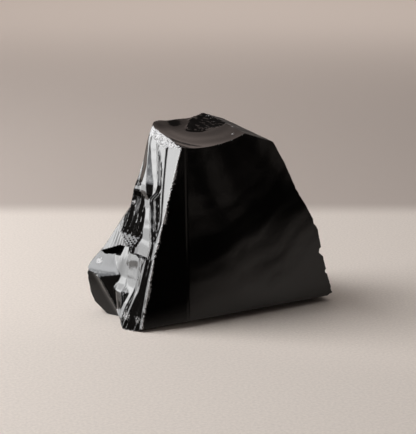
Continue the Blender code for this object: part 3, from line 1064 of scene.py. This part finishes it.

# %% [markdown]
# ## The painted reflection in the broad face
# The broad face looks at the table in front of it.  There a card lies beyond a slanting
# edge, which the glass shows as a soft dark band.  The card glows very dimly, though it is
# no lamp, so that its tone can be set: brightest at its edge, with a faint middle that a
# dark streak crosses.  Its bands are painted reflections.  Only mirrors see it: it is
# hidden from the camera and casts no shadow.

# %% Painted reflection card
CARD_LOW, CARD_HIGH, CARD_HEIGHT = (-0.6, -2.4), (1.6, 0.1), 0.0006      # m
CARD_EDGE, CARD_WAY = (-0.025, -0.048, 0.0), (-0.721, -0.693, 0.0)
EDGE_SCALE, EDGE_WANDER = 9.0, 0.022    # how the slanting edge strays from a straight line
COVER = (-0.03, 0.0)                    # depths where the card begins,
EDGE_FADE, EDGE_GLOW = (-0.010, 0.026), 0.34    # where its bright edge dies out
MIDDLE_RISE, MIDDLE_GLOW = (0.07, 0.15), 0.22   # and where its faint middle comes up
MIDDLE_END = (1.30, 1.46)               # the middle ends at this turn round the stone, radians
STREAK_TURN, STREAK_WIDE = 1.08, (0.02, 0.075)
STREAK_START, STREAK_DARK = (0.5, 0.8), 0.95
GLOW_TINT = (0.87, 0.78)                # green and blue against red


# A glowing card, no lamp, painted with the bands that the broad face reflects.
def reflection_card_material():
    material, bench, _ = material_bench("painted reflection card")
    bench.tree.nodes.clear()
    place = bench.add("ShaderNodeTexCoord", out="Object")
    from_edge = bench.vector("SUBTRACT", {0: place, 1: CARD_EDGE})
    depth = bench.vector("DOT_PRODUCT", {0: from_edge, 1: CARD_WAY}, out="Value")
    depth = depth + (bench.noise(place, EDGE_SCALE, 1.0) - 0.5) * EDGE_WANDER
    apart = bench.parts(place)
    turn = (-apart.other("Y")).math("ARCTAN2", apart)
    away = (apart * apart + apart.other("Y") * apart.other("Y")).math("SQRT")
    streak = 1.0 - bench.smooth((turn - STREAK_TURN).math("ABSOLUTE"), *STREAK_WIDE)
    streak = streak * bench.smooth(away, *STREAK_START)
    sideways = 1.0 - bench.smooth(turn, *MIDDLE_END)
    middle = (bench.smooth(depth, *MIDDLE_RISE) * sideways * (1.0 - streak * STREAK_DARK)
              * MIDDLE_GLOW)
    light = middle + (1.0 - bench.smooth(depth, *EDGE_FADE)) * EDGE_GLOW
    tone = bench.add("ShaderNodeCombineColor", {}, {
        0: light, 1: light * GLOW_TINT[0], 2: light * GLOW_TINT[1]})
    glow = bench.add("ShaderNodeEmission", {}, {"Color": tone, "Strength": 1.0})
    both = bench.add("ShaderNodeMixShader", {}, {
        0: bench.smooth(depth, *COVER), 1: bench.add("ShaderNodeBsdfTransparent"), 2: glow})
    bench.add("ShaderNodeOutputMaterial", {}, {0: both})
    return material


reflection_card = level_sheet("painted reflection card", CARD_LOW, CARD_HIGH, CARD_HEIGHT, reflection_card_material())
reflection_card.visible_camera = reflection_card.visible_diffuse = reflection_card.visible_shadow = False
reflection_card.visible_transmission = False
print("cloth nodes:", len(reflection_card.active_material.node_tree.nodes))

# %% [markdown]
# ## Lights
# The glass and the floor are lit apart, so that each can be tuned alone.  Five lights are
# only mirrored: a soft box with a bright core, low at the left behind the stone, shines
# back from the fluted wall; a warm glow shows in the scar on top; a dim panel and a bright
# one above it show in the shoulder of the foot.  Three lights only reach the floor: one
# from the side and a weak one above draw the shadow, and one hangs over the far floor and
# points straight down.

# %% Area lights
TARGET = Vector((3.79, -0.84, 37.0)) * MM
AZIMUTH, ELEVATION, DISTANCE, LENS = -30.0, 14.0, 0.52, 100.0
LIGHTS = (   # name, direction, distance, size, watts, colour, seen in the glass, lights the floor
    ("soft box", (-0.75, 0.65, 0.35), 0.9, (0.9, 0.7), 12.0, (1.0, 1.0, 1.0), True, False),
    ("soft box core", (-0.72, 0.66, 0.45), 0.89, (0.28, 0.6), 2.2, (1.0, 1.0, 1.0), True, False),
    ("side light", (-0.66, 0.36, 0.66), 0.9, (0.6, 0.6), 9.0, (1.0, 1.0, 1.0), False, True),
    ("top light", (0.1, 0.1, 1.0), 0.9, (0.8, 0.8), 1.2, (1.0, 0.97, 0.94), False, True),
    ("back wall glow", (0.42, 0.59, 0.69), 1.0, (0.9, 0.8), 1.0, (1.0, 0.80, 0.72), True, False),
    ("side panel", (-0.768, 0.177, 0.616), 0.9, (0.5, 0.25), 1.3, (0.93, 0.96, 1.0), True, False),
    ("side panel top", (-0.567, 0.241, 0.788), 0.9, (0.6, 0.42), 5.6, (1.0, 1.0, 1.0),
     True, False),
    ("backdrop light", (0.9, 1.56, 0.9), 2.0, (2.2, 1.8), 11.0, (1.0, 0.96, 0.93), False, True),
)
BACKDROP_SPREAD = math.radians(120)


def look_at(piece, place, target):
    piece.location = place
    piece.rotation_euler = (Vector(target) - Vector(place)).to_track_quat("-Z", "Y").to_euler()


def area_light(name, way, distance, size, watts, colour, mirrored, lit):
    lamp = bpy.data.lights.new(name, "AREA")
    lamp.shape, lamp.size, lamp.size_y = "RECTANGLE", *size
    lamp.energy, lamp.color = watts, colour
    light = placed(name, lamp)
    look_at(light, TARGET + Vector(way).normalized() * distance, TARGET)
    light.visible_camera = False
    light.visible_glossy, light.visible_diffuse = mirrored, lit
    return light


lights = {row[0]: area_light(*row) for row in LIGHTS}
over_floor = lights["backdrop light"]
over_floor.rotation_euler = (0.0, 0.0, math.radians(AZIMUTH))       # straight down
over_floor.data.spread = BACKDROP_SPREAD
print("lights:", ", ".join(lights))

# %% [markdown]
# ## Room and camera
# The rest of the room is a dim warm grey, which keeps the facets that mirror no light from
# going quite black.  The camera is a long lens a little above the stone.  Standard colours
# keep the white floor and the black glass as they are lit.

# %% The room and the camera
ROOM, ROOM_STRENGTH = (0.35, 0.31, 0.29), 0.30
SENSOR = 36.0                           # mm

room = bpy.context.scene.world or bpy.data.worlds.new("room")
bpy.context.scene.world = room
room.use_nodes = True
room.node_tree.nodes["Background"].inputs["Color"].default_value = (*ROOM, 1.0)
room.node_tree.nodes["Background"].inputs["Strength"].default_value = ROOM_STRENGTH

turn, rise = math.radians(AZIMUTH), math.radians(ELEVATION)
back = Vector((math.sin(turn) * math.cos(rise), -math.cos(turn) * math.cos(rise),
               math.sin(rise)))
camera = placed("camera", bpy.data.cameras.new("camera"))
camera.data.lens, camera.data.sensor_width = LENS, SENSOR
look_at(camera, TARGET + back * DISTANCE, TARGET)
bpy.context.scene.camera = camera
bpy.context.scene.view_settings.view_transform = "Standard"
print("camera at", [round(c, 3) for c in camera.location])
